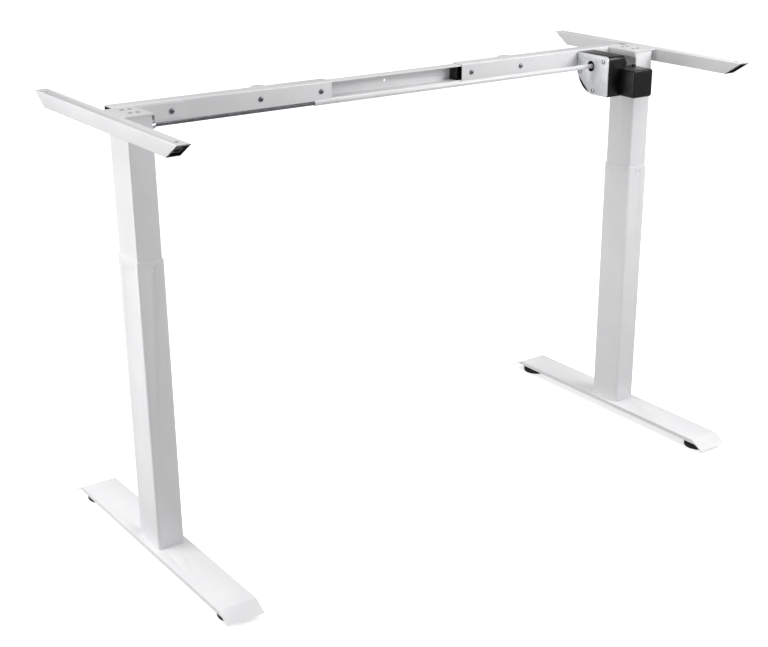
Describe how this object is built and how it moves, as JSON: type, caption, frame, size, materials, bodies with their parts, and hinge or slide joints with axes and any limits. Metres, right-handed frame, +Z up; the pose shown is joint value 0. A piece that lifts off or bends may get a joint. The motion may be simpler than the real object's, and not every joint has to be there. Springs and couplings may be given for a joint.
{
  "type": "standing desk frame",
  "caption": "Height-adjustable desk frame: telescopic legs on long feet, a telescopic crossbeam with a drive shaft and geared motor, and side tubes that carry the desktop.",
  "frame": {"origin": "on the floor, midway between the legs and between the front and back of the feet", "axes": "+X to the right along the crossbeam, +Y to the back, +Z up"},
  "size_m": [1.46, 0.728, 0.9556],
  "materials": {
    "white_coat": "gloss white powder coat",
    "white_plastic": "satin white",
    "black_plastic": "gloss black",
    "black_pad": "matt black",
    "zinc": "bright zinc plate",
    "steel": "oiled steel",
    "casting": "die cast",
    "cover_metal": "satin",
    "nut_plastic": "natural"
  },
  "bodies": {
    "left_base": {"left_foot": "white_coat", "left_pad_nuts": "zinc", "left_outer_column": "white_coat", "left_column_base": "steel", "left_column_bolts": "zinc", "left_glide_bush": "white_plastic", "left_nut_tube": "steel", "left_spindle_nut": "nut_plastic"},
    "left_upper": {"left_inner_column": "white_coat", "left_inner_glide": "white_plastic", "left_bracket": "white_coat", "left_side_tube": "white_coat", "left_tube_caps": "black_plastic", "left_channel": "white_coat", "left_channel_screws": "steel", "left_gear_block": "casting", "left_block_screws": "zinc", "left_bearings": "zinc"},
    "left_spindle": {"left_spindle": "zinc", "left_spindle_gear": "steel"},
    "left_front_pad": {"left_front_pad": "black_pad"},
    "left_rear_pad": {"left_rear_pad": "black_pad"},
    "right_base": {"right_foot": "white_coat", "right_pad_nuts": "zinc", "right_outer_column": "white_coat", "right_column_base": "steel", "right_column_bolts": "zinc", "right_glide_bush": "white_plastic", "right_nut_tube": "steel", "right_spindle_nut": "nut_plastic"},
    "right_upper": {"right_inner_column": "white_coat", "right_inner_glide": "white_plastic", "right_bracket": "white_coat", "right_side_tube": "white_coat", "right_tube_caps": "black_plastic", "right_channel": "white_coat", "right_channel_screws": "steel", "right_gear_block": "casting", "right_block_screws": "zinc", "right_bearings": "zinc", "gear_casing": "black_plastic", "cover_plate": "cover_metal", "cover_screws": "zinc", "casing_bearings": "zinc", "motor_cover": "black_plastic", "motor_can": "steel"},
    "right_spindle": {"right_spindle": "zinc", "right_spindle_gear": "steel"},
    "right_front_pad": {"right_front_pad": "black_pad"},
    "right_rear_pad": {"right_rear_pad": "black_pad"},
    "left_shaft": {"left_shaft_gear": "zinc", "hex_rod": "steel"},
    "crossbeam": {"centre_rail": "white_coat", "rail_blocks": "black_plastic"},
    "right_shaft": {"sleeve_tube": "white_coat", "sleeve_screws": "steel", "worm_wheel": "black_plastic", "right_shaft": "zinc", "right_shaft_gear": "zinc"},
    "motor_rotor": {"motor_worm": "steel"}
  },
  "joints": [
    {"name": "left_lift", "type": "slide", "parent": "left_base", "child": "left_upper", "axis": [0, 0, 1], "range_m": [-0.24, 0.235]},
    {"name": "left_width", "type": "slide", "parent": "left_upper", "child": "crossbeam", "axis": [1, 0, 0], "range_m": [-0.15, 0.15]},
    {"name": "right_width", "type": "slide", "parent": "crossbeam", "child": "right_upper", "axis": [1, 0, 0], "range_m": [-0.15, 0.14]},
    {"name": "right_lift", "type": "slide", "parent": "right_upper", "child": "right_base", "axis": [0, 0, 1], "range_m": [-0.235, 0.24]},
    {"name": "left_spindle_turn", "type": "hinge", "parent": "left_upper", "child": "left_spindle", "pos_m": [-0.668, 0, 0.6], "axis": [0, 0, 1], "range_deg": [-9000, 9000]},
    {"name": "left_front_levelling", "type": "slide", "parent": "left_base", "child": "left_front_pad", "axis": [0, 0, 1], "range_m": [-0.006, 0.0015]},
    {"name": "left_rear_levelling", "type": "slide", "parent": "left_base", "child": "left_rear_pad", "axis": [0, 0, 1], "range_m": [-0.006, 0.0015]},
    {"name": "right_spindle_turn", "type": "hinge", "parent": "right_upper", "child": "right_spindle", "pos_m": [0.668, 0, 0.6], "axis": [0, 0, 1], "range_deg": [-9000, 9000]},
    {"name": "right_front_levelling", "type": "slide", "parent": "right_base", "child": "right_front_pad", "axis": [0, 0, 1], "range_m": [-0.006, 0.0015]},
    {"name": "right_rear_levelling", "type": "slide", "parent": "right_base", "child": "right_rear_pad", "axis": [0, 0, 1], "range_m": [-0.006, 0.0015]},
    {"name": "left_shaft_turn", "type": "hinge", "parent": "left_upper", "child": "left_shaft", "pos_m": [-0.3, 0, 0.9236], "axis": [1, 0, 0], "range_deg": [-9000, 9000]},
    {"name": "right_shaft_turn", "type": "hinge", "parent": "right_upper", "child": "right_shaft", "pos_m": [0.3, 0, 0.9236], "axis": [1, 0, 0], "range_deg": [-9000, 9000]},
    {"name": "motor_turn", "type": "hinge", "parent": "right_upper", "child": "motor_rotor", "pos_m": [0.603, 0, 0.8996], "axis": [0, 1, 0], "range_deg": [-180000, 180000]}
  ],
  "couplings": [
    {"joint": "right_lift", "follows": "left_lift", "ratio": -1},
    {"joint": "left_spindle_turn", "follows": "left_lift", "rad_per_m": 628.32},
    {"joint": "left_shaft_turn", "follows": "left_lift", "rad_per_m": 628.32},
    {"joint": "right_shaft_turn", "follows": "left_lift", "rad_per_m": 628.32},
    {"joint": "right_spindle_turn", "follows": "left_lift", "rad_per_m": -628.32},
    {"joint": "motor_turn", "follows": "left_lift", "rad_per_m": -12566}
  ]
}
